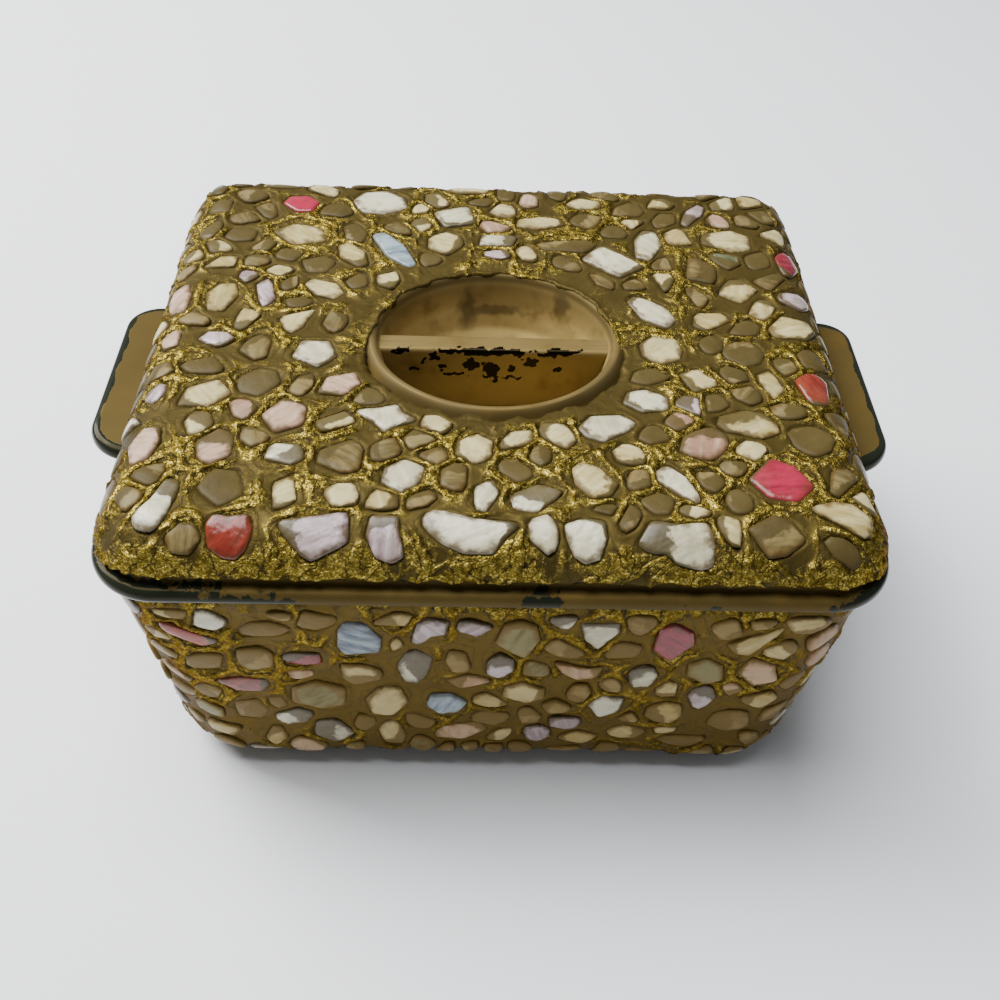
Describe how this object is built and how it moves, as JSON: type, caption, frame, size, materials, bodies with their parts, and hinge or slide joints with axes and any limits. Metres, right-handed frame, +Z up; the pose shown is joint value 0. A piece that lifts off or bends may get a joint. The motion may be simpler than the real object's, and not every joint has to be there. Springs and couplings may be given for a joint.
{
  "type": "lidded jewelry box",
  "caption": "Rectangular lidded box with side tabs, its lid with a round finger well and bar, inlaid all over with shell chips set in gold mortar.",
  "frame": {"origin": "centre of the flat underside, on the surface that the box stands on", "axes": "+X along the length of the box from ear to ear, to the right of one who faces the front; -Y is the front, where the larger chips are; +Z up through the lid"},
  "size_m": [0.16, 0.1204, 0.0751],
  "materials": {
    "gold_glass": "opaque worn gold paint over dark green-grey pressed glass, worn through to glossy glass on the rims and the ends of the ears",
    "gold_mortar": "rough hand-trowelled mortar under worn antique gold paint and brown varnish",
    "shell_blue": "smoky blue shell chip, worn smooth, under a thin old varnish",
    "shell_coral": "dull coral red shell chip, worn smooth, under a thin old varnish",
    "shell_cream": "cream shell chip, worn smooth, under a thin old varnish",
    "shell_green": "grey green shell chip, worn smooth, under a thin old varnish",
    "shell_lilac": "pale lilac grey shell chip, worn smooth, under a thin old varnish",
    "shell_pearl": "white pearly shell chip, worn smooth, under a thin old varnish",
    "shell_pink": "pale pink shell chip, worn smooth, under a thin old varnish",
    "shell_rose": "deep rose pink shell chip, worn smooth, under a thin old varnish",
    "shell_taupe": "taupe brown shell chip, worn smooth, under a thin old varnish"
  },
  "bodies": {
    "root": {"dish": "gold_glass", "dish_mortar": "gold_mortar", "lid": "gold_glass", "lid_mortar": "gold_mortar", "shell_blue_01": "shell_blue", "shell_blue_02": "shell_blue", "shell_blue_03": "shell_blue", "shell_coral_01": "shell_coral", "shell_coral_02": "shell_coral", "shell_coral_03": "shell_coral", "shell_cream_01": "shell_cream", "shell_cream_02": "shell_cream", "shell_cream_03": "shell_cream", "shell_cream_04": "shell_cream", "shell_cream_05": "shell_cream", "shell_cream_06": "shell_cream", "shell_cream_07": "shell_cream", "shell_cream_08": "shell_cream", "shell_cream_09": "shell_cream", "shell_cream_10": "shell_cream", "shell_cream_11": "shell_cream", "shell_cream_12": "shell_cream", "shell_cream_13": "shell_cream", "shell_cream_14": "shell_cream", "shell_cream_15": "shell_cream", "shell_green_01": "shell_green", "shell_green_02": "shell_green", "shell_green_03": "shell_green", "shell_lilac_01": "shell_lilac", "shell_lilac_02": "shell_lilac", "shell_lilac_03": "shell_lilac", "shell_pearl_01": "shell_pearl", "shell_pearl_02": "shell_pearl", "shell_pearl_03": "shell_pearl", "shell_pearl_04": "shell_pearl", "shell_pearl_05": "shell_pearl", "shell_pearl_06": "shell_pearl", "shell_pearl_07": "shell_pearl", "shell_pearl_08": "shell_pearl", "shell_pearl_09": "shell_pearl", "shell_pearl_10": "shell_pearl", "shell_pearl_11": "shell_pearl", "shell_pearl_12": "shell_pearl", "shell_pearl_13": "shell_pearl", "shell_pearl_14": "shell_pearl", "shell_pearl_15": "shell_pearl", "shell_pearl_16": "shell_pearl", "shell_pearl_17": "shell_pearl", "shell_pink_01": "shell_pink", "shell_pink_02": "shell_pink", "shell_pink_03": "shell_pink", "shell_pink_04": "shell_pink", "shell_pink_05": "shell_pink", "shell_pink_06": "shell_pink", "shell_pink_07": "shell_pink", "shell_rose_01": "shell_rose", "shell_rose_02": "shell_rose", "shell_rose_03": "shell_rose", "shell_taupe_01": "shell_taupe", "shell_taupe_02": "shell_taupe"}
  },
  "joints": []
}
